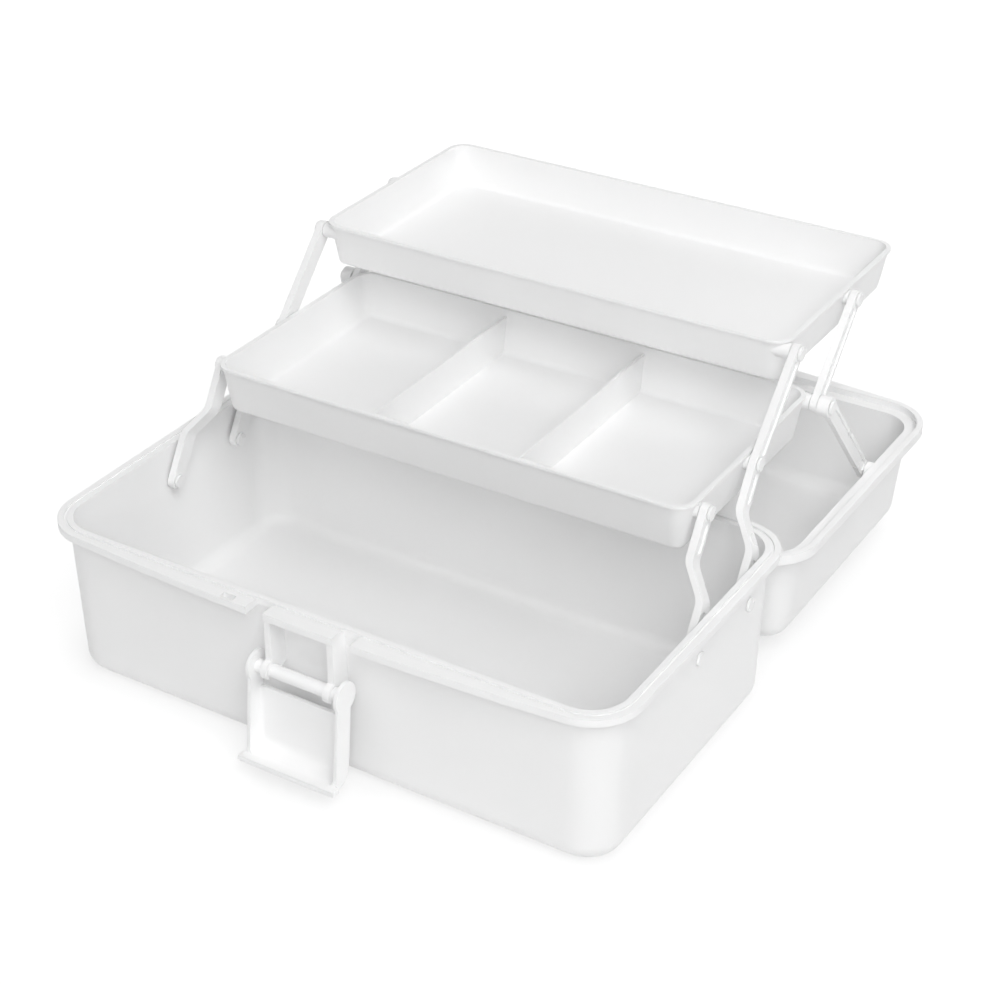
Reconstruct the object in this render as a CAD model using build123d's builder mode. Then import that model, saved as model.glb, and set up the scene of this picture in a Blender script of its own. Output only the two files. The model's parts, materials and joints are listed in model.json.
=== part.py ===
"""Three-tier fold-out storage box, modelled open: the lid lies back and the trays stand in steps.

Origin at the centre of the base's underside, +X right, +Y back, +Z up, millimetres.
The lid, its handle and the latch are drawn closed, then swung open about their hinges.
"""

import os
from math import asin, atan2, cos, degrees, hypot, radians, sin

from build123d import *

os.makedirs("parts", exist_ok=True)

# Rim flange, of one outline on the base and the lid
rim_length = 332.0
rim_depth = 190.0
rim_width = 7.9
rim_thickness = 4.0
rim_corner = 27.0
rim_bow = 5.5
rim_gap = 0.3
groove_width = 1.6
groove_depth = 1.0
groove_inset = 3.2

# Base and lid shells
wall = 2.2
base_height = 89.4
base_draft = 2.4
base_floor = 2.4
base_edge_fillet = 10.0
lid_height = 62.2
lid_roof = 1.8
lid_rim_thickness = 5.6
lid_inset = 1.8
lid_draft = 5.6
lid_edge_fillet = 10.0
rabbet_inset = 3.4
rabbet_depth = 3.8

# Lid hinge behind the base
hinge_out = 0.0
hinge_drop = 9.2
hinge_end_inset = 71.0
knuckle_radius = 5.0
base_knuckle_length = 24.0
lid_knuckle_length = 10.0
knuckle_gap = 0.4
hinge_pin_radius = 2.0

# Pins and their running fits
pin_radius = 2.2
pin_clearance = 0.06
pin_head_radius = 3.6
pin_head_thickness = 1.3
seat_gap = 0.2
pin_seat = 2.8

# Side linkage, seen from the side: Y and Z of the pivots follow from these
base_pivot_drop = 19.4
base_rear_inset = 33.6
base_pivot_spacing = 53.5
lower_reach = 67.0
lower_angle = 59.7
upper_reach = 59.0
upper_angle = 47.0
lid_pin_from_hinge = 123.4
lid_pin_above_rim = 10.0

# Swing arms and lid links
arm_width = 9.0
arm_thickness = 4.0
arm_gap = 1.0
wall_gap = 2.1
jog_start = 26.0
jog_length = 16.0
bend_radius = 10.0
channel_depth = 1.0
channel_edge = 1.8
link_thickness = 3.0
link_wall_gap = 4.7
link_boss_gap = 0.4
hub_radius = 5.4
hub_gap = 0.5

# Trays
tray_side_gap = 18.1
tray_depth = 141.0
tray_wall = 1.8
tray_floor = 1.8
tray_draft = 4.5
tray_corner = 11.0
tray_edge_fillet = 3.0
lip_width = 0.8
lip_thickness = 1.6
middle_tray_height = 27.0
top_tray_height = 25.0
pivot_drop = 6.15
middle_front_inset = 14.0
middle_rear_inset = 1.8
top_front_inset = 6.3
boss_radius = 4.2
boss_gap = 0.4
divider_offset = 43.1
divider_thickness = 1.6
divider_drop = 4.0

# Front latch
latch_axis_out = 4.8
latch_axis_drop = 31.4
latch_width = 53.0
latch_length = 49.0
latch_plate = 2.0
latch_plate_offset = 2.2
latch_plate_start = 12.4
latch_side_wall = 2.0
latch_side_depth = 8.4
latch_fillet = 2.6
latch_round = 7.0
latch_lip = 2.6
latch_lip_reach = 13.6
latch_ear = 1.5
latch_bar_radius = 3.4
cheek_radius = 8.0
latch_open_angle = 174.0
lug_offset = 18.1
lug_thickness = 3.6
lug_radius = 5.2
lug_inset = 0.6
lug_slot = 5.4
latch_notch = 10.1
latch_notch_depth = 5.0
catch_width = 36.0
catch_drop = 0.8
catch_overlap = 5.0
catch_height = 7.0
slot_offset = 42.7
slot_length = 7.4
slot_width = 3.4
slot_depth = 3.0

# Carry handle, folded flat on the lid's top between two brackets
handle_span = 150.0
handle_rise = 8.5
handle_thickness = 7.4
handle_arm = 12.0
handle_grip = 18.0
handle_reach = 44.0
handle_end = 3.0
handle_pivot_y = 0.0
handle_corner = 9.0
handle_edge_fillet = 2.4
handle_gap = 0.8
stub_radius = 2.2
bracket_width = 9.0
bracket_foot = 18.0

# How far a cut runs past what it cuts
overrun = 1.0


def inset(size, amount):
    """Length, depth and corner of a rounded rectangle drawn in by an amount all round."""
    length, depth, corner = size
    return length - 2 * amount, depth - 2 * amount, corner - amount


def turned(point, centre, angle):
    """A Y, Z point turned about a centre by an angle in degrees, from +Y towards +Z."""
    y = point[0] - centre[0]
    z = point[1] - centre[1]
    c = cos(radians(angle))
    s = sin(radians(angle))
    return centre[0] + y * c - z * s, centre[1] + y * s + z * c


def stepped(point, reach, angle):
    """The Y, Z point at a reach and an angle from another."""
    return point[0] + reach * cos(radians(angle)), point[1] + reach * sin(radians(angle))


def between(first, second):
    """Middle, distance and angle of the line between two Y, Z points."""
    y = second[0] - first[0]
    z = second[1] - first[1]
    middle = ((first[0] + second[0]) / 2, (first[1] + second[1]) / 2)
    return middle, hypot(y, z), degrees(atan2(z, y))


def swing(centre, angle):
    """Location that turns a piece about an X axis through a Y, Z point."""
    there = Location((0, centre[0], centre[1]))
    back = Location((0, -centre[0], -centre[1]))
    return there * Location((0, 0, 0), (angle, 0, 0)) * back


def write(part, name):
    part.label = name
    export_step(part, f"parts/{name}.step")


# Sections of the shells
rim = (rim_length, rim_depth, rim_corner)
mouth = inset(rim, rim_width)
shell = inset(mouth, -wall)
lid_mouth = inset(mouth, lid_inset)
lid_shell = inset(lid_mouth, -wall)
lid_rim = base_height + rim_gap
lid_flange_top = lid_rim + lid_rim_thickness
lid_top = lid_rim + lid_height
rim_front = -rim_depth / 2

# Hinge axis, and how far the lid swings until its folded handle lies on the floor
hinge_spread = rim_length / 2 - hinge_end_inset
hinge = (rim_depth / 2 + hinge_out, base_height - hinge_drop)
handle_far_edge = hinge[0] - handle_pivot_y + handle_reach
lid_tilt = degrees(asin((2 * hinge[1] - lid_top - handle_rise) / handle_far_edge))
lid_open_angle = 180 + lid_tilt
lid_swing = swing(hinge, -lid_open_angle)

# Pivots of the side linkage as Y, Z points
base_rear = (mouth[1] / 2 - base_rear_inset, base_height - base_pivot_drop)
base_front = (base_rear[0] - base_pivot_spacing, base_rear[1])
middle_front = stepped(base_front, lower_reach, lower_angle)
middle_mid = stepped(base_rear, lower_reach, lower_angle)
top_front = stepped(middle_mid, upper_reach, upper_angle)
middle_tray_front = middle_front[0] - middle_front_inset
middle_rear = (middle_tray_front + tray_depth - middle_rear_inset, middle_front[1])
top_mid = stepped(middle_rear, upper_reach, upper_angle)
top_tray_front = top_front[0] - top_front_inset
lid_pin_closed = (hinge[0] - lid_pin_from_hinge, lid_rim + lid_pin_above_rim)
lid_pin = turned(lid_pin_closed, hinge, -lid_open_angle)

# Planes of the linkage across X, on the right-hand side
tray_length = mouth[0] - 2 * tray_side_gap
upper_in = tray_length / 2 + arm_gap
upper_out = upper_in + arm_thickness
lower_out = mouth[0] / 2 - wall_gap
lower_in = lower_out - arm_thickness
link_out = lid_mouth[0] / 2 - link_wall_gap
link_in = link_out - link_thickness
pin_bore = pin_radius + pin_clearance
boss_end = upper_in - boss_gap

# Latch axis and the catch on the lid that its lip hooks over
latch_axis = (rim_front - latch_axis_out, base_height - latch_axis_drop)
latch_swing = swing(latch_axis, latch_open_angle)
latch_plate_back = latch_axis[0] - latch_plate_offset
lug_front = rim_front - rim_bow + lug_inset
latch_lip_bottom = latch_axis[1] + latch_length - latch_lip
catch_top = latch_lip_bottom - catch_drop
catch_front = latch_plate_back + latch_lip_reach - catch_overlap

# Rim outline with the front bowed out, and the ring of the rim groove
with BuildSketch() as rim_outline:
    RectangleRounded(rim_length, rim_depth, rim_corner)
    with BuildLine():
        bow_end = rim_length / 2 - rim_corner
        bow = ThreePointArc((-bow_end, rim_front), (0, rim_front - rim_bow), (bow_end, rim_front))
        Line(bow @ 1, bow @ 0)
    make_face()

with BuildSketch() as latch_notches:
    notch_length = latch_notch_depth + rim_bow + overrun
    notch_y = rim_front + latch_notch_depth - notch_length / 2
    notch_x = lug_offset + (lug_thickness + latch_notch) / 2
    with Locations((-notch_x, notch_y), (notch_x, notch_y)):
        Rectangle(latch_notch, notch_length)

with BuildSketch() as rim_groove:
    groove_outside = inset(rim, groove_inset)
    RectangleRounded(*groove_outside)
    RectangleRounded(*inset(groove_outside, groove_width), mode=Mode.SUBTRACT)

lid_knuckle_offset = base_knuckle_length / 2 + knuckle_gap + lid_knuckle_length / 2

# Room inside the base, rounded at the floor
with BuildPart() as base_cavity:
    with BuildSketch(Plane.XY.offset(base_floor)):
        RectangleRounded(*inset(mouth, base_draft * (1 - base_floor / base_height)))
    with BuildSketch(Plane.XY.offset(base_height)):
        RectangleRounded(*mouth)
    loft()
    fillet(base_cavity.faces().sort_by(Axis.Z)[0].edges(), base_edge_fillet - wall)

# Base: a deep box with drafted walls, a flanged rim, hinge knuckles and latch lugs
with BuildPart() as base_box:
    with BuildSketch():
        RectangleRounded(*inset(shell, base_draft))
    with BuildSketch(Plane.XY.offset(base_height)):
        RectangleRounded(*shell)
    loft()
    fillet(base_box.faces().sort_by(Axis.Z)[0].edges(), base_edge_fillet)
    with BuildSketch(Plane.XY.offset(base_height)):
        add(rim_outline.sketch)
    extrude(amount=-rim_thickness)
    # Latch lugs hang under the rim, with a clip for the latch's bar
    for side in (-1, 1):
        with BuildSketch(Plane.YZ.offset(side * lug_offset - lug_thickness / 2)):
            with BuildLine():
                Polyline(
                    (rim_front + rim_width, base_height - rim_thickness),
                    (lug_front, base_height - rim_thickness),
                    (lug_front, latch_axis[1]),
                    (latch_axis[0], latch_axis[1] - lug_radius),
                    (rim_front + rim_width, latch_axis[1]),
                    close=True,
                )
            make_face()
            with Locations(latch_axis):
                Circle(lug_radius)
        extrude(amount=lug_thickness)
    # Hinge knuckles behind the rear wall
    for side in (-1, 1):
        with BuildSketch(Plane.YZ.offset(side * hinge_spread - base_knuckle_length / 2)):
            with Locations(hinge):
                Circle(knuckle_radius)
            with Locations((hinge[0] - rim_width / 2, hinge[1] + hinge_drop / 2 - knuckle_radius / 2)):
                Rectangle(rim_width, hinge_drop + knuckle_radius - rim_thickness)
        extrude(amount=base_knuckle_length)
    add(base_cavity.part, mode=Mode.SUBTRACT)
    # Groove round the rim, notches and slot in the front flange
    with BuildSketch(Plane.XY.offset(base_height)):
        add(rim_groove.sketch)
    extrude(amount=-groove_depth, mode=Mode.SUBTRACT)
    with BuildSketch(Plane.XY.offset(base_height)):
        add(latch_notches.sketch)
    extrude(amount=-rim_thickness, mode=Mode.SUBTRACT)
    with BuildSketch(Plane.XY.offset(base_height)):
        with Locations((-slot_offset, rim_front - slot_width / 2)):
            Rectangle(slot_length, slot_width)
    extrude(amount=-slot_depth, mode=Mode.SUBTRACT)
    # Bores for the latch's bar, the hinge pins and the arm pins
    with BuildSketch(Plane.YZ):
        with Locations(latch_axis):
            Circle(latch_bar_radius + pin_clearance)
        with Locations((latch_axis[0], latch_axis[1] - lug_radius / 2)):
            Rectangle(lug_slot, lug_radius + overrun)
    extrude(amount=lug_offset + lug_thickness, both=True, mode=Mode.SUBTRACT)
    with BuildSketch(Plane.YZ):
        with Locations(hinge):
            Circle(hinge_pin_radius + pin_clearance)
    extrude(amount=rim_length / 2, both=True, mode=Mode.SUBTRACT)
    with BuildSketch(Plane.YZ):
        with Locations(base_front, base_rear):
            Circle(pin_bore)
    extrude(amount=rim_length / 2, both=True, mode=Mode.SUBTRACT)
    # Room in the rear flange for the lid's knuckles
    with BuildSketch(Plane.XY.offset(base_height)):
        for side in (-1, 1):
            with Locations(
                (side * hinge_spread - lid_knuckle_offset, hinge[0]),
                (side * hinge_spread + lid_knuckle_offset, hinge[0]),
            ):
                Rectangle(lid_knuckle_length + 2 * knuckle_gap, 2 * (knuckle_radius + knuckle_gap))
    extrude(amount=-rim_thickness, mode=Mode.SUBTRACT)

write(base_box.part, "base_box")

# Hinge pins of the lid
for side_name, side in (("left", -1), ("right", 1)):
    with BuildPart() as hinge_pin:
        pin_length = base_knuckle_length + 2 * (knuckle_gap + lid_knuckle_length)
        with BuildSketch(Plane.YZ.offset(side * hinge_spread - pin_length / 2)):
            with Locations(hinge):
                Circle(hinge_pin_radius)
        extrude(amount=pin_length)
    write(hinge_pin.part, f"lid_hinge_pin_{side_name}")

# Room inside the lid, drawn closed, with a rabbet in the rim
with BuildPart() as lid_cavity:
    with BuildSketch(Plane.XY.offset(lid_rim)):
        RectangleRounded(*lid_mouth)
    with BuildSketch(Plane.XY.offset(lid_top - lid_roof)):
        RectangleRounded(*inset(lid_mouth, lid_draft * (1 - lid_roof / lid_height)))
    loft()
    fillet(lid_cavity.faces().sort_by(Axis.Z)[-1].edges(), lid_edge_fillet - wall)
    with BuildSketch(Plane.XY.offset(lid_rim)):
        RectangleRounded(*inset(rim, rabbet_inset))
    extrude(amount=rabbet_depth)

handle_pivot = (handle_pivot_y, lid_top + handle_rise / 2)

# Lid, drawn closed: a cover with a wider flange, knuckles, a catch and brackets for the handle
with BuildPart() as closed_lid:
    with BuildSketch(Plane.XY.offset(lid_rim)):
        RectangleRounded(*lid_shell)
    with BuildSketch(Plane.XY.offset(lid_top)):
        RectangleRounded(*inset(lid_shell, lid_draft))
    loft()
    fillet(closed_lid.faces().sort_by(Axis.Z)[-1].edges(), lid_edge_fillet)
    with BuildSketch(Plane.XY.offset(lid_rim)):
        add(rim_outline.sketch)
    extrude(amount=lid_rim_thickness)
    # Catch for the latch's lip on the front wall
    with BuildSketch(Plane.XY.offset(catch_top)):
        with Locations((0, (catch_front - lid_mouth[1] / 2) / 2)):
            Rectangle(catch_width, -catch_front - lid_mouth[1] / 2)
    extrude(amount=-catch_height)
    add(lid_cavity.part, mode=Mode.SUBTRACT)
    # Brackets for the handle, rounded over its pivots
    for side in (-1, 1):
        with BuildSketch(Plane.YZ.offset(side * (handle_span / 2 + handle_gap))):
            with BuildLine():
                Polyline(
                    (handle_pivot_y - bracket_foot / 2, lid_top - lid_roof / 2),
                    (handle_pivot_y - handle_rise / 2, handle_pivot[1]),
                    (handle_pivot_y + handle_rise / 2, handle_pivot[1]),
                    (handle_pivot_y + bracket_foot / 2, lid_top - lid_roof / 2),
                    close=True,
                )
            make_face()
            with Locations(handle_pivot):
                Circle(handle_rise / 2)
                Circle(stub_radius + pin_clearance, mode=Mode.SUBTRACT)
        extrude(amount=side * bracket_width)
    # Knuckles on both sides of each base knuckle
    for side in (-1, 1):
        for end in (-1, 1):
            knuckle_x = side * hinge_spread + end * lid_knuckle_offset - lid_knuckle_length / 2
            with BuildSketch(Plane.YZ.offset(knuckle_x)):
                with Locations(hinge):
                    Circle(knuckle_radius)
                with Locations((hinge[0] + knuckle_radius / 2, (hinge[1] + lid_flange_top) / 2)):
                    Rectangle(knuckle_radius, lid_flange_top - hinge[1])
                with Locations((hinge[0], lid_rim + lid_rim_thickness / 2)):
                    Rectangle(knuckle_radius, lid_rim_thickness)
            extrude(amount=lid_knuckle_length)
    with BuildSketch(Plane.YZ):
        with Locations(hinge):
            Circle(hinge_pin_radius + pin_clearance)
    extrude(amount=rim_length / 2, both=True, mode=Mode.SUBTRACT)
    # Notches in the flange for the latch's side walls
    with BuildSketch(Plane.XY.offset(lid_rim)):
        add(latch_notches.sketch)
    extrude(amount=lid_rim_thickness, mode=Mode.SUBTRACT)
    # Bosses inside the side walls for the link pins
    for side in (-1, 1):
        with BuildSketch(Plane.YZ.offset(side * (link_out + link_boss_gap))):
            with Locations(lid_pin_closed):
                Circle(hub_radius)
        extrude(amount=side * (link_wall_gap - link_boss_gap + wall / 2))
    with BuildSketch(Plane.YZ):
        with Locations(lid_pin_closed):
            Circle(pin_bore)
    extrude(amount=rim_length / 2, both=True, mode=Mode.SUBTRACT)

with BuildPart() as lid:
    with Locations(lid_swing):
        add(closed_lid.part)
write(lid.part, "lid")

# Carry handle, drawn lying on the closed lid: a flat bail on two stub pivots
with BuildPart() as closed_handle:
    handle_foot = lid_top + handle_rise - handle_thickness
    with BuildSketch(Plane.XY.offset(handle_foot)):
        handle_depth = handle_reach + handle_end
        with Locations((0, handle_pivot_y + handle_end - handle_depth / 2)):
            RectangleRounded(handle_span, handle_depth, handle_corner)
        with Locations((0, handle_pivot_y - handle_reach + handle_grip + handle_depth / 2)):
            RectangleRounded(handle_span - 2 * handle_arm, handle_depth, handle_corner, mode=Mode.SUBTRACT)
    extrude(amount=handle_thickness)
    fillet(closed_handle.faces().filter_by(Axis.Z).edges(), handle_edge_fillet)
    for side in (-1, 1):
        with BuildSketch(Plane.YZ.offset(side * (handle_span / 2 - handle_arm / 2))):
            with Locations(handle_pivot):
                Circle(stub_radius)
        extrude(amount=side * (handle_arm / 2 + handle_gap + bracket_width))

with BuildPart() as carry_handle:
    with Locations(lid_swing):
        add(closed_handle.part)
write(carry_handle.part, "carry_handle")

plate_front = latch_plate_back - latch_plate
plate_foot = latch_axis[1] + latch_plate_start
side_back = latch_plate_back + latch_side_depth

# Room inside the latch, drawn closed, rounded where its plate meets the sides and the lip
with BuildPart() as latch_scoop:
    scoop_width = latch_width - 2 * latch_side_wall
    with BuildSketch(Plane.YZ.offset(-scoop_width / 2)) as scoop_section:
        scoop_back = side_back + latch_fillet + overrun
        scoop_foot = plate_foot - latch_fillet - overrun
        with Locations(((latch_plate_back + scoop_back) / 2, (scoop_foot + latch_lip_bottom) / 2)):
            Rectangle(scoop_back - latch_plate_back, latch_lip_bottom - scoop_foot)
        fillet(scoop_section.vertices().group_by(Axis.Y)[-1].sort_by(Axis.X)[0], latch_round)
    extrude(amount=scoop_width)
    fillet(latch_scoop.faces().filter_by(Axis.X).edges(), latch_fillet)

# Front latch, drawn closed: a scoop with a lip at its head and cheeks round its hinge bar
with BuildPart() as closed_latch:
    with BuildSketch(Plane.YZ.offset(-latch_width / 2)) as latch_section:
        latch_top = latch_axis[1] + latch_length
        with Locations(((plate_front + side_back) / 2, (plate_foot + latch_top) / 2)):
            Rectangle(side_back - plate_front, latch_top - plate_foot)
        fillet(latch_section.vertices().group_by(Axis.Y)[-1].sort_by(Axis.X)[0], latch_round + latch_plate)
    extrude(amount=latch_width)
    add(latch_scoop.part, mode=Mode.SUBTRACT)
    with BuildSketch(Plane.XY.offset(latch_lip_bottom)):
        lip_depth = latch_lip_reach - latch_side_depth
        with Locations((0, side_back + lip_depth / 2)):
            Rectangle(latch_width + 2 * latch_ear, lip_depth)
    extrude(amount=latch_lip)
    for side in (-1, 1):
        with BuildSketch(Plane.YZ.offset(side * (latch_width / 2 - latch_side_wall))):
            with Locations(latch_axis):
                Circle(cheek_radius)
            with Locations(((plate_front + side_back) / 2, latch_axis[1] + latch_plate_start / 2)):
                Rectangle(side_back - plate_front, latch_plate_start)
        extrude(amount=side * latch_side_wall)
    with BuildSketch(Plane.YZ):
        with Locations(latch_axis):
            Circle(latch_bar_radius)
    extrude(amount=latch_width / 2 - latch_side_wall / 2, both=True)

with BuildPart() as front_latch:
    with Locations(latch_swing):
        add(closed_latch.part)
write(front_latch.part, "front_latch")


def open_tray(front, rim, height, pivots):
    """A drafted tray with a lip round its rim and a boss at each Y, Z pivot on both sides."""
    middle = front + tray_depth / 2
    outside = inset((tray_length, tray_depth, tray_corner), lip_width)
    inside = inset(outside, tray_wall)
    with BuildPart() as cavity:
        with BuildSketch(Plane(origin=(0, middle, rim - height + tray_floor))):
            RectangleRounded(*inset(inside, tray_draft * (1 - tray_floor / height)))
        with BuildSketch(Plane(origin=(0, middle, rim))):
            RectangleRounded(*inside)
        loft()
        fillet(cavity.faces().sort_by(Axis.Z)[0].edges(), tray_edge_fillet)
    with BuildPart() as tray:
        with BuildSketch(Plane(origin=(0, middle, rim - height))):
            RectangleRounded(*inset(outside, tray_draft))
        with BuildSketch(Plane(origin=(0, middle, rim))):
            RectangleRounded(*outside)
        loft()
        fillet(tray.faces().sort_by(Axis.Z)[0].edges(), tray_edge_fillet)
        with BuildSketch(Plane(origin=(0, middle, rim))):
            RectangleRounded(tray_length, tray_depth, tray_corner)
        extrude(amount=-lip_thickness)
        with BuildSketch(Plane.YZ):
            with Locations(*pivots):
                Circle(boss_radius)
        extrude(amount=boss_end, both=True)
        add(cavity.part, mode=Mode.SUBTRACT)
        for side in (-1, 1):
            with BuildSketch(Plane.YZ.offset(side * boss_end)):
                with Locations(*pivots):
                    Circle(pin_bore)
            extrude(amount=-side * pin_seat, mode=Mode.SUBTRACT)
    return tray


middle_rim = middle_front[1] + pivot_drop
top_rim = top_front[1] + pivot_drop
middle_pivots = [middle_front, middle_mid, middle_rear]
middle_shell = open_tray(middle_tray_front, middle_rim, middle_tray_height, middle_pivots)
with BuildPart() as middle_tray:
    add(middle_shell.part)
    # Two dividers make three compartments
    divider_foot = middle_rim - middle_tray_height + tray_floor / 2
    divider_top = middle_rim - divider_drop
    divider_end = tray_depth / 2 - lip_width - tray_wall / 2
    divider_middle = middle_tray_front + tray_depth / 2
    for side in (-1, 1):
        with BuildSketch(Plane.YZ.offset(side * divider_offset - divider_thickness / 2)):
            with BuildLine():
                Polyline(
                    (divider_middle - divider_end, divider_top),
                    (divider_middle + divider_end, divider_top),
                    (divider_middle + divider_end - tray_draft, divider_foot),
                    (divider_middle - divider_end + tray_draft, divider_foot),
                    close=True,
                )
            make_face()
        extrude(amount=divider_thickness)
write(middle_tray.part, "middle_tray")

top_tray = open_tray(top_tray_front, top_rim, top_tray_height, [top_front, top_mid])
write(top_tray.part, "top_tray")


def swing_arm(lower, upper, tip=None):
    """Right-hand arm from a base pivot to a tray pivot, cranked inwards, with an upper run to a tip."""
    middle, reach, tilt = between(lower, upper)
    jog_end = jog_start + jog_length
    along = (0, cos(radians(tilt)), sin(radians(tilt)))
    across = (0, sin(radians(tilt)), -cos(radians(tilt)))
    jog_point = stepped(lower, jog_start, tilt)
    bend_point = stepped(lower, jog_end, tilt)
    channels = [(lower, jog_point, lower_out), (bend_point, upper, upper_out)]
    pivots = [lower, upper]
    channel_width = arm_width - 2 * channel_edge
    with BuildPart() as arm:
        with BuildSketch(Plane(origin=(0, lower[0], lower[1]), x_dir=along, z_dir=across)) as crank:
            with BuildLine():
                Polyline(
                    (-arm_width, lower_in),
                    (jog_start, lower_in),
                    (jog_end, upper_in),
                    (reach + arm_width, upper_in),
                    (reach + arm_width, upper_out),
                    (jog_end, upper_out),
                    (jog_start, lower_out),
                    (-arm_width, lower_out),
                    close=True,
                )
            make_face()
            fillet(crank.vertices().filter_by_position(Axis.X, 0, reach), bend_radius)
        extrude(amount=arm_width / 2, both=True)
        with BuildSketch(Plane.YZ):
            with Locations(middle):
                SlotCenterToCenter(reach, arm_width, rotation=tilt)
        extrude(amount=rim_length / 2, mode=Mode.INTERSECT)
        if tip:
            tip_middle, tip_reach, tip_tilt = between(upper, tip)
            with BuildSketch(Plane.YZ.offset(upper_in)):
                with Locations(tip_middle):
                    SlotCenterToCenter(tip_reach, arm_width, rotation=tip_tilt)
            extrude(amount=arm_thickness)
            channels.append((upper, tip, upper_out))
            pivots.append(tip)
        for first, second, face in channels:
            channel_middle, channel_reach, channel_tilt = between(first, second)
            with BuildSketch(Plane.YZ.offset(face)):
                with Locations(channel_middle):
                    SlotOverall(channel_reach - arm_width, channel_width, rotation=channel_tilt)
            extrude(amount=-channel_depth, mode=Mode.SUBTRACT)
        with BuildSketch(Plane.YZ):
            with Locations(*pivots):
                Circle(pin_bore)
        extrude(amount=rim_length / 2, mode=Mode.SUBTRACT)
    return arm


def rear_arm():
    """Right-hand arm between the two trays, flat, with a channel on its outside."""
    middle, reach, tilt = between(middle_rear, top_mid)
    with BuildPart() as arm:
        with BuildSketch(Plane.YZ.offset(upper_in)):
            with Locations(middle):
                SlotCenterToCenter(reach, arm_width, rotation=tilt)
        extrude(amount=arm_thickness)
        with BuildSketch(Plane.YZ.offset(upper_out)):
            with Locations(middle):
                SlotOverall(reach - arm_width, arm_width - 2 * channel_edge, rotation=tilt)
        extrude(amount=-channel_depth, mode=Mode.SUBTRACT)
        with BuildSketch(Plane.YZ):
            with Locations(middle_rear, top_mid):
                Circle(pin_bore)
        extrude(amount=rim_length / 2, mode=Mode.SUBTRACT)
    return arm


def lid_link():
    """Right-hand link from the middle tray's rear pin to the lid, with a long hub at the tray."""
    middle, reach, tilt = between(middle_rear, lid_pin)
    with BuildPart() as link:
        with BuildSketch(Plane.YZ.offset(link_in)):
            with Locations(middle):
                SlotCenterToCenter(reach, arm_width, rotation=tilt)
        extrude(amount=link_thickness)
        with BuildSketch(Plane.YZ.offset(link_out)):
            with Locations(middle):
                SlotOverall(reach - arm_width, arm_width - 2 * channel_edge, rotation=tilt)
        extrude(amount=-channel_depth, mode=Mode.SUBTRACT)
        with BuildSketch(Plane.YZ.offset(upper_out + hub_gap)):
            with Locations(middle_rear):
                Circle(hub_radius)
        extrude(amount=link_out - upper_out - hub_gap)
        with BuildSketch(Plane.YZ.offset(link_in)):
            with Locations(lid_pin):
                Circle(pin_head_radius)
        extrude(amount=-pin_head_thickness)
        with BuildSketch(Plane.YZ):
            with Locations(middle_rear):
                Circle(pin_bore)
        extrude(amount=rim_length / 2, mode=Mode.SUBTRACT)
    return link


# The linkage is the same on both sides
linkage = {
    "front_arm": swing_arm(base_front, middle_front),
    "long_arm": swing_arm(base_rear, middle_mid, top_front),
    "rear_arm": rear_arm(),
    "lid_link": lid_link(),
}
for name, right_piece in linkage.items():
    with BuildPart() as left_piece:
        mirror(right_piece.part, about=Plane.YZ)
    write(right_piece.part, f"{name}_right")
    write(left_piece.part, f"{name}_left")


def pin_pair(pivot, stretches):
    """A pin on each side of the box, as stretches of X from, X to and radius."""
    with BuildPart() as pins:
        for side in (-1, 1):
            for start, end, radius in stretches:
                with BuildSketch(Plane.YZ.offset(side * start)):
                    with Locations(pivot):
                        Circle(radius)
                extrude(amount=side * (end - start))
    return pins


def base_pins(pivot):
    """Pins through the base's side walls, headed outside the wall and inside the arm."""
    outside = shell[0] / 2 - base_draft * (1 - pivot[1] / base_height) + seat_gap
    inside = lower_in - seat_gap
    head = (outside, outside + pin_head_thickness, pin_head_radius)
    collar = (inside - pin_head_thickness, inside, pin_head_radius)
    return pin_pair(pivot, [collar, (inside, outside, pin_radius), head])


def tray_pins(pivot, outside):
    """Pins seated in a tray's bosses, headed outside what swings on them."""
    start = boss_end - pin_seat + seat_gap
    head = (outside + seat_gap, outside + seat_gap + pin_head_thickness, pin_head_radius)
    return pin_pair(pivot, [(start, outside + seat_gap, pin_radius), head])


pins = {
    "base_front_pivot_pins": base_pins(base_front),
    "base_rear_pivot_pins": base_pins(base_rear),
    "middle_tray_front_pins": tray_pins(middle_front, upper_out),
    "middle_tray_mid_pins": tray_pins(middle_mid, upper_out),
    "middle_tray_rear_pins": tray_pins(middle_rear, link_out),
    "top_tray_front_pins": tray_pins(top_front, upper_out),
    "top_tray_mid_pins": tray_pins(top_mid, upper_out),
}
for name, pair in pins.items():
    write(pair.part, name)

# Pins of the lid links in the lid's side walls, drawn closed
lid_pin_foot = lid_pin_above_rim - pin_head_radius
lid_wall_outside = lid_shell[0] / 2 - lid_draft * lid_pin_foot / lid_height + seat_gap
lid_pin_head = (lid_wall_outside, lid_wall_outside + pin_head_thickness, pin_head_radius)
lid_pin_shank = (link_out + link_boss_gap, lid_wall_outside, pin_radius)
closed_lid_pins = pin_pair(lid_pin_closed, [lid_pin_shank, lid_pin_head])
with BuildPart() as lid_link_pins:
    with Locations(lid_swing):
        add(closed_lid_pins.part)
write(lid_link_pins.part, "lid_link_pins")
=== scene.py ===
"""Looks for a white fold-out storage box: satin polypropylene shells, trays and
links on a white studio floor, seen from the photograph's corner."""

import json
from collections import namedtuple

import bpy
from mathutils import Matrix, Vector

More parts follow.
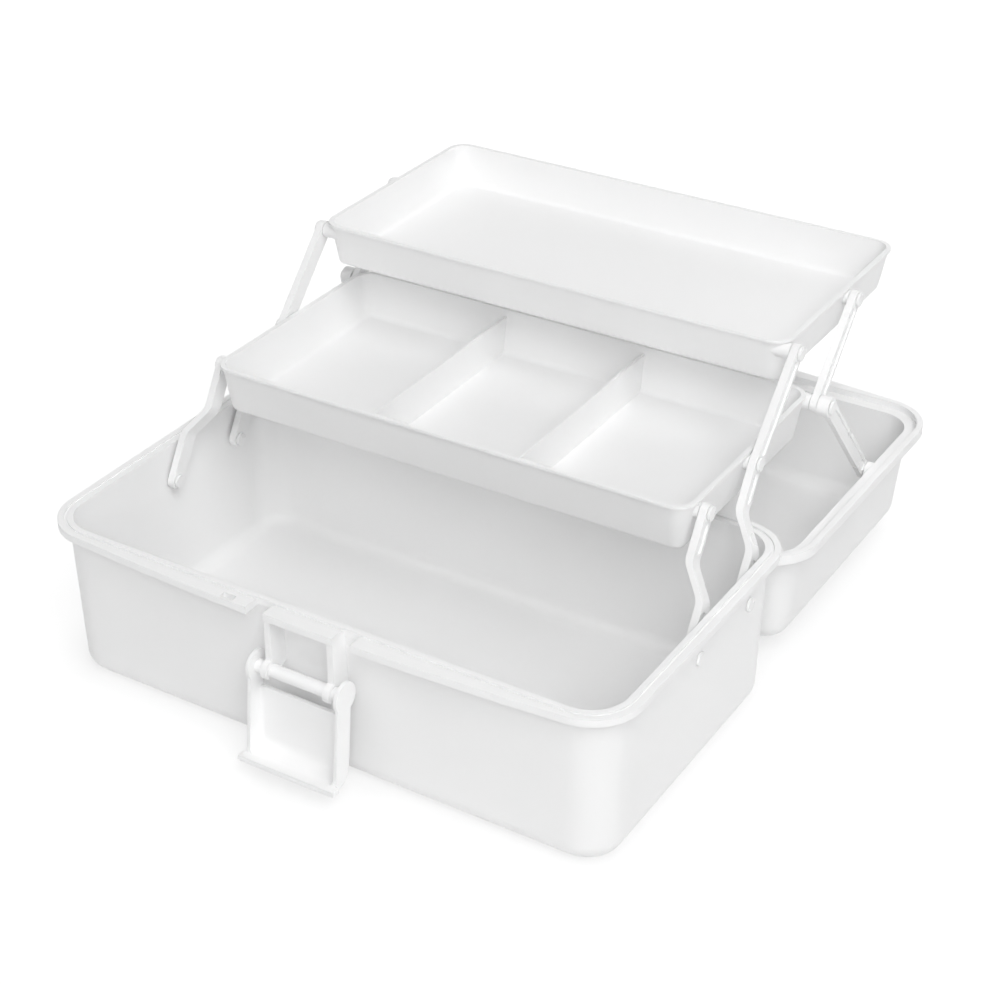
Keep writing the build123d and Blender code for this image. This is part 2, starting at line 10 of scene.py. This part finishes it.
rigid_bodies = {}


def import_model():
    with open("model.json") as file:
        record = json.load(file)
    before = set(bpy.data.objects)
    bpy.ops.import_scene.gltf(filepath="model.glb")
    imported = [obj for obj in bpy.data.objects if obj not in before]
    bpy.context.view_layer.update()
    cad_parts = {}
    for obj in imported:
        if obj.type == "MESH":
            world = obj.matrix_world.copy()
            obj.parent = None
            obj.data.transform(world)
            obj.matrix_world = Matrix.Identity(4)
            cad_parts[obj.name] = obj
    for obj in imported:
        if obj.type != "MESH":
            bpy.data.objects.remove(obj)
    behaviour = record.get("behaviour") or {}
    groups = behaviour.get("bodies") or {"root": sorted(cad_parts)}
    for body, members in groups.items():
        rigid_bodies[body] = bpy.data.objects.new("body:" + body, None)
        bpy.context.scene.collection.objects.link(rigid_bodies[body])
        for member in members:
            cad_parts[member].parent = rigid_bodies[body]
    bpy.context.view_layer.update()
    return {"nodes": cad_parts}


for leftover in list(bpy.data.objects):
    bpy.data.objects.remove(leftover)

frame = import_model()
scene = bpy.context.scene
scene.view_settings.view_transform = "Standard"

# Camera, fitted to the photograph's edges: place in metres, lens in millimetres.
CAMERA_PLACE = Vector((0.50754, -0.75045, 0.65542))
CAMERA_RIGHT = Vector((0.8514, 0.5246, 0.0))
CAMERA_UP = Vector((-0.2704, 0.4388, 0.8570))
SENSOR_WIDTH = 36.0
FOCAL_LENGTH = 78.17

# Floor, in metres. Seen directly it glows nearly white, more so further from the origin,
# and SHADOW_COLOUR is the share of it that the lamps light and the object shades.
FLOOR_SIZE = 8.0
FLOOR_COLOUR = (0.84, 0.84, 0.84, 1.0)
SHADOW_COLOUR = (0.30, 0.30, 0.30, 1.0)
GLOW_REACH = (0.30, 0.80)
GLOW_LEVEL = (0.80, 1.0)

# Contact shadow: its reach in metres, and what stays of the floor's white where the floor
# is half covered and where it is open.
CONTACT_REACH = 0.03
CONTACT_SAMPLES = 6
CONTACT_OPENNESS = (0.5, 1.0)
CONTACT_LEVEL = (0.89, 1.0)

# Light: a dim even sky behind a white backdrop, and large soft lamps all round, in metres
# and watts. The back lamps light the object but leave no glare on it.
WHITE = (1.0, 1.0, 1.0, 1.0)
SKY_LEVEL = 0.2
BACKDROP_LEVEL = 1.0
LAMP_DISTANCE = 2.7
LAMP_SIZE = 1.8
Lamp = namedtuple("Lamp", "direction power glare")
LAMPS = {
    "key_lamp": Lamp(Vector((0.50, -0.30, 0.81)), 33.5, True),
    "camera_lamp": Lamp(Vector((0.45, -0.73, 0.52)), 19.0, True),
    "left_lamp": Lamp(Vector((-0.50, -0.60, 0.60)), 6.5, True),
    "back_lamp": Lamp(Vector((0.20, 0.60, 0.80)), 8.5, False),
    "low_back_lamp": Lamp(Vector((-0.10, 0.92, 0.38)), 13.0, False),
}

# Plastic: texture scales per metre, heights and depths in metres. NOISE_SPAN is where most
# values of a noise lie.
PLASTIC_IOR = 1.49
SCATTER_WEIGHT = 0.2
SCATTER_RADIUS = (1.0, 1.0, 1.0)
SCATTER_DEPTH = 0.002
NOISE_SPAN = (0.3, 0.7)
CLOUD_SCALE, CLOUD_DETAIL = 14.0, 4.0
PATCH_SCALE, PATCH_DETAIL = 40.0, 3.0
ROUGHNESS_SPREAD = 0.05
WAVE_SCALE, WAVE_HEIGHT = 28.0, 0.0003
GRAIN_SCALE = 1500.0
BUMP_DETAIL = 2.0
BUMP_STRENGTH = 1.0
EDGE_SAMPLES = 4

# One finish for each material slot of the CAD nodes.
Finish = namedtuple("Finish", "pale shade roughness grain_height edge_radius")
FINISHES = {
    "shell_plastic": Finish(
        (0.965, 0.965, 0.965, 1.0), (0.950, 0.951, 0.952, 1.0), 0.40, 0.00003, 0.0004),
    "tray_plastic": Finish(
        (0.965, 0.965, 0.965, 1.0), (0.950, 0.951, 0.952, 1.0), 0.36, 0.00002, 0.0004),
    "handle_plastic": Finish(
        (0.965, 0.965, 0.965, 1.0), (0.952, 0.953, 0.954, 1.0), 0.34, 0.00002, 0.0006),
    "arm_plastic": Finish(
        (0.967, 0.967, 0.967, 1.0), (0.955, 0.956, 0.957, 1.0), 0.30, 0.00001, 0.0003),
    "pin_plastic": Finish(
        (0.967, 0.967, 0.967, 1.0), (0.955, 0.956, 0.957, 1.0), 0.28, 0.00001, 0.0003),
}


def add_node(tree, kind, values):
    """A new node with these values on its inputs."""
    node = tree.nodes.new(kind)
    for name, value in values.items():
        node.inputs[name].default_value = value
    return node


def remap(tree, source, old, new):
    """The source's value, carried from the range old to the range new."""
    ends = {"From Min": old[0], "From Max": old[1], "To Min": new[0], "To Max": new[1]}
    node = add_node(tree, "ShaderNodeMapRange", ends)
    tree.links.new(source, node.inputs["Value"])
    return node.outputs["Result"]


def mix_shaders(tree, share, first, second):
    """The first shader where share is 0, and the second where it is 1."""
    node = tree.nodes.new("ShaderNodeMixShader")
    for source, socket in zip((share, first, second), node.inputs):
        tree.links.new(source, socket)
    return node.outputs["Shader"]


def seen_directly(tree):
    """A socket that is 1 for rays from the camera, mirrors and glass, and 0 for light."""
    path = tree.nodes.new("ShaderNodeLightPath")
    seen = path.outputs["Is Camera Ray"]
    for ray in ("Is Glossy Ray", "Is Transmission Ray"):
        either = tree.nodes.new("ShaderNodeMath")
        either.operation = "MAXIMUM"
        tree.links.new(seen, either.inputs[0])
        tree.links.new(path.outputs[ray], either.inputs[1])
        seen = either.outputs["Value"]
    return seen


def moulded_plastic(name, finish):
    """Satin injection-moulded polypropylene: cloudy tone, a fine spark-eroded grain, slow
    waves where the wall has sunk, and softened edges that catch the light."""
    material = bpy.data.materials.new(name)
    material.use_nodes = True
    tree = material.node_tree
    shader = tree.nodes["Principled BSDF"]
    shader.inputs["IOR"].default_value = PLASTIC_IOR
    shader.inputs["Subsurface Weight"].default_value = SCATTER_WEIGHT
    shader.inputs["Subsurface Radius"].default_value = SCATTER_RADIUS
    shader.inputs["Subsurface Scale"].default_value = SCATTER_DEPTH
    place = tree.nodes.new("ShaderNodeTexCoord")

    def noise(scale, detail):
        node = add_node(tree, "ShaderNodeTexNoise", {"Scale": scale, "Detail": detail})
        tree.links.new(place.outputs["Object"], node.inputs["Vector"])
        return node.outputs["Fac"]

    tone = tree.nodes.new("ShaderNodeMix")
    tone.data_type = "RGBA"
    tone.inputs["A"].default_value = finish.shade
    tone.inputs["B"].default_value = finish.pale
    clouds = remap(tree, noise(CLOUD_SCALE, CLOUD_DETAIL), NOISE_SPAN, (0.0, 1.0))
    tree.links.new(clouds, tone.inputs["Factor"])
    tree.links.new(tone.outputs["Result"], shader.inputs["Base Color"])

    gloss = (finish.roughness - ROUGHNESS_SPREAD, finish.roughness + ROUGHNESS_SPREAD)
    patches = remap(tree, noise(PATCH_SCALE, PATCH_DETAIL), NOISE_SPAN, gloss)
    tree.links.new(patches, shader.inputs["Roughness"])

    edges = add_node(tree, "ShaderNodeBevel", {"Radius": finish.edge_radius})
    edges.samples = EDGE_SAMPLES
    normal = edges.outputs["Normal"]
    for scale, height in ((WAVE_SCALE, WAVE_HEIGHT), (GRAIN_SCALE, finish.grain_height)):
        relief = {"Strength": BUMP_STRENGTH, "Distance": height}
        bump = add_node(tree, "ShaderNodeBump", relief)
        tree.links.new(noise(scale, BUMP_DETAIL), bump.inputs["Height"])
        tree.links.new(normal, bump.inputs["Normal"])
        normal = bump.outputs["Normal"]
    tree.links.new(normal, shader.inputs["Normal"])
    return material


def make_camera():
    back = CAMERA_RIGHT.cross(CAMERA_UP)
    turn = Matrix((CAMERA_RIGHT, CAMERA_UP, back)).transposed().to_4x4()
    data = bpy.data.cameras.new("camera")
    data.sensor_width = SENSOR_WIDTH
    data.lens = FOCAL_LENGTH
    camera = bpy.data.objects.new("camera", data)
    camera.matrix_world = Matrix.Translation(CAMERA_PLACE) @ turn
    scene.collection.objects.link(camera)
    scene.camera = camera


def floor_material():
    """A floor that reads as white, and still takes the object's soft shadow."""
    material = bpy.data.materials.new("studio_floor")
    material.use_nodes = True
    tree = material.node_tree
    tree.nodes.clear()
    lit = add_node(tree, "ShaderNodeBsdfDiffuse", {"Color": FLOOR_COLOUR})
    shadow = add_node(tree, "ShaderNodeBsdfDiffuse", {"Color": SHADOW_COLOUR})

    place = tree.nodes.new("ShaderNodeTexCoord")
    reach = tree.nodes.new("ShaderNodeVectorMath")
    reach.operation = "LENGTH"
    tree.links.new(place.outputs["Object"], reach.inputs[0])
    rise = remap(tree, reach.outputs["Value"], GLOW_REACH, GLOW_LEVEL)
    glow = tree.nodes.new("ShaderNodeEmission")
    tree.links.new(rise, glow.inputs["Strength"])
    white = tree.nodes.new("ShaderNodeAddShader")
    tree.links.new(shadow.outputs["BSDF"], white.inputs[0])
    tree.links.new(glow.outputs["Emission"], white.inputs[1])

    corner = add_node(tree, "ShaderNodeAmbientOcclusion", {"Distance": CONTACT_REACH})
    corner.samples = CONTACT_SAMPLES
    contact = remap(tree, corner.outputs["AO"], CONTACT_OPENNESS, CONTACT_LEVEL)
    dark = add_node(tree, "ShaderNodeEmission", {"Strength": 0.0})
    shown = mix_shaders(tree, contact, dark.outputs["Emission"], white.outputs["Shader"])

    surface = mix_shaders(tree, seen_directly(tree), lit.outputs["BSDF"], shown)
    output = tree.nodes.new("ShaderNodeOutputMaterial")
    tree.links.new(surface, output.inputs["Surface"])
    return material


def make_floor():
    """A square floor, centred on the origin."""
    half = FLOOR_SIZE / 2
    mesh = bpy.data.meshes.new("studio_floor")
    corners = [(-half, -half, 0), (half, -half, 0), (half, half, 0), (-half, half, 0)]
    mesh.from_pydata(corners, [], [(0, 1, 2, 3)])
    mesh.materials.append(floor_material())
    floor = bpy.data.objects.new("studio_floor", mesh)
    scene.collection.objects.link(floor)


def make_world():
    """A white backdrop to look at, and a dim even sky for light."""
    world = bpy.data.worlds.new("studio")
    world.use_nodes = True
    tree = world.node_tree
    tree.nodes.clear()
    sky, backdrop = (
        add_node(tree, "ShaderNodeBackground", {"Color": WHITE, "Strength": level})
        for level in (SKY_LEVEL, BACKDROP_LEVEL)
    )
    surface = mix_shaders(
        tree, seen_directly(tree), sky.outputs["Background"], backdrop.outputs["Background"])
    output = tree.nodes.new("ShaderNodeOutputWorld")
    tree.links.new(surface, output.inputs["Surface"])
    scene.world = world


def make_lamps():
    """Large soft discs, each aimed at the origin."""
    for name, lamp in LAMPS.items():
        data = bpy.data.lights.new(name, "AREA")
        data.shape = "DISK"
        data.size = LAMP_SIZE
        data.energy = lamp.power
        disc = bpy.data.objects.new(name, data)
        aim = lamp.direction.normalized()
        turn = aim.to_track_quat("Z", "Y").to_matrix().to_4x4()
        disc.matrix_world = Matrix.Translation(aim * LAMP_DISTANCE) @ turn
        disc.visible_glossy = lamp.glare
        scene.collection.objects.link(disc)


materials = {name: moulded_plastic(name, finish) for name, finish in FINISHES.items()}
for node in frame["nodes"].values():
    for slot in node.material_slots:
        slot.material = materials[slot.material.name]

make_camera()
make_floor()
make_world()
make_lamps()
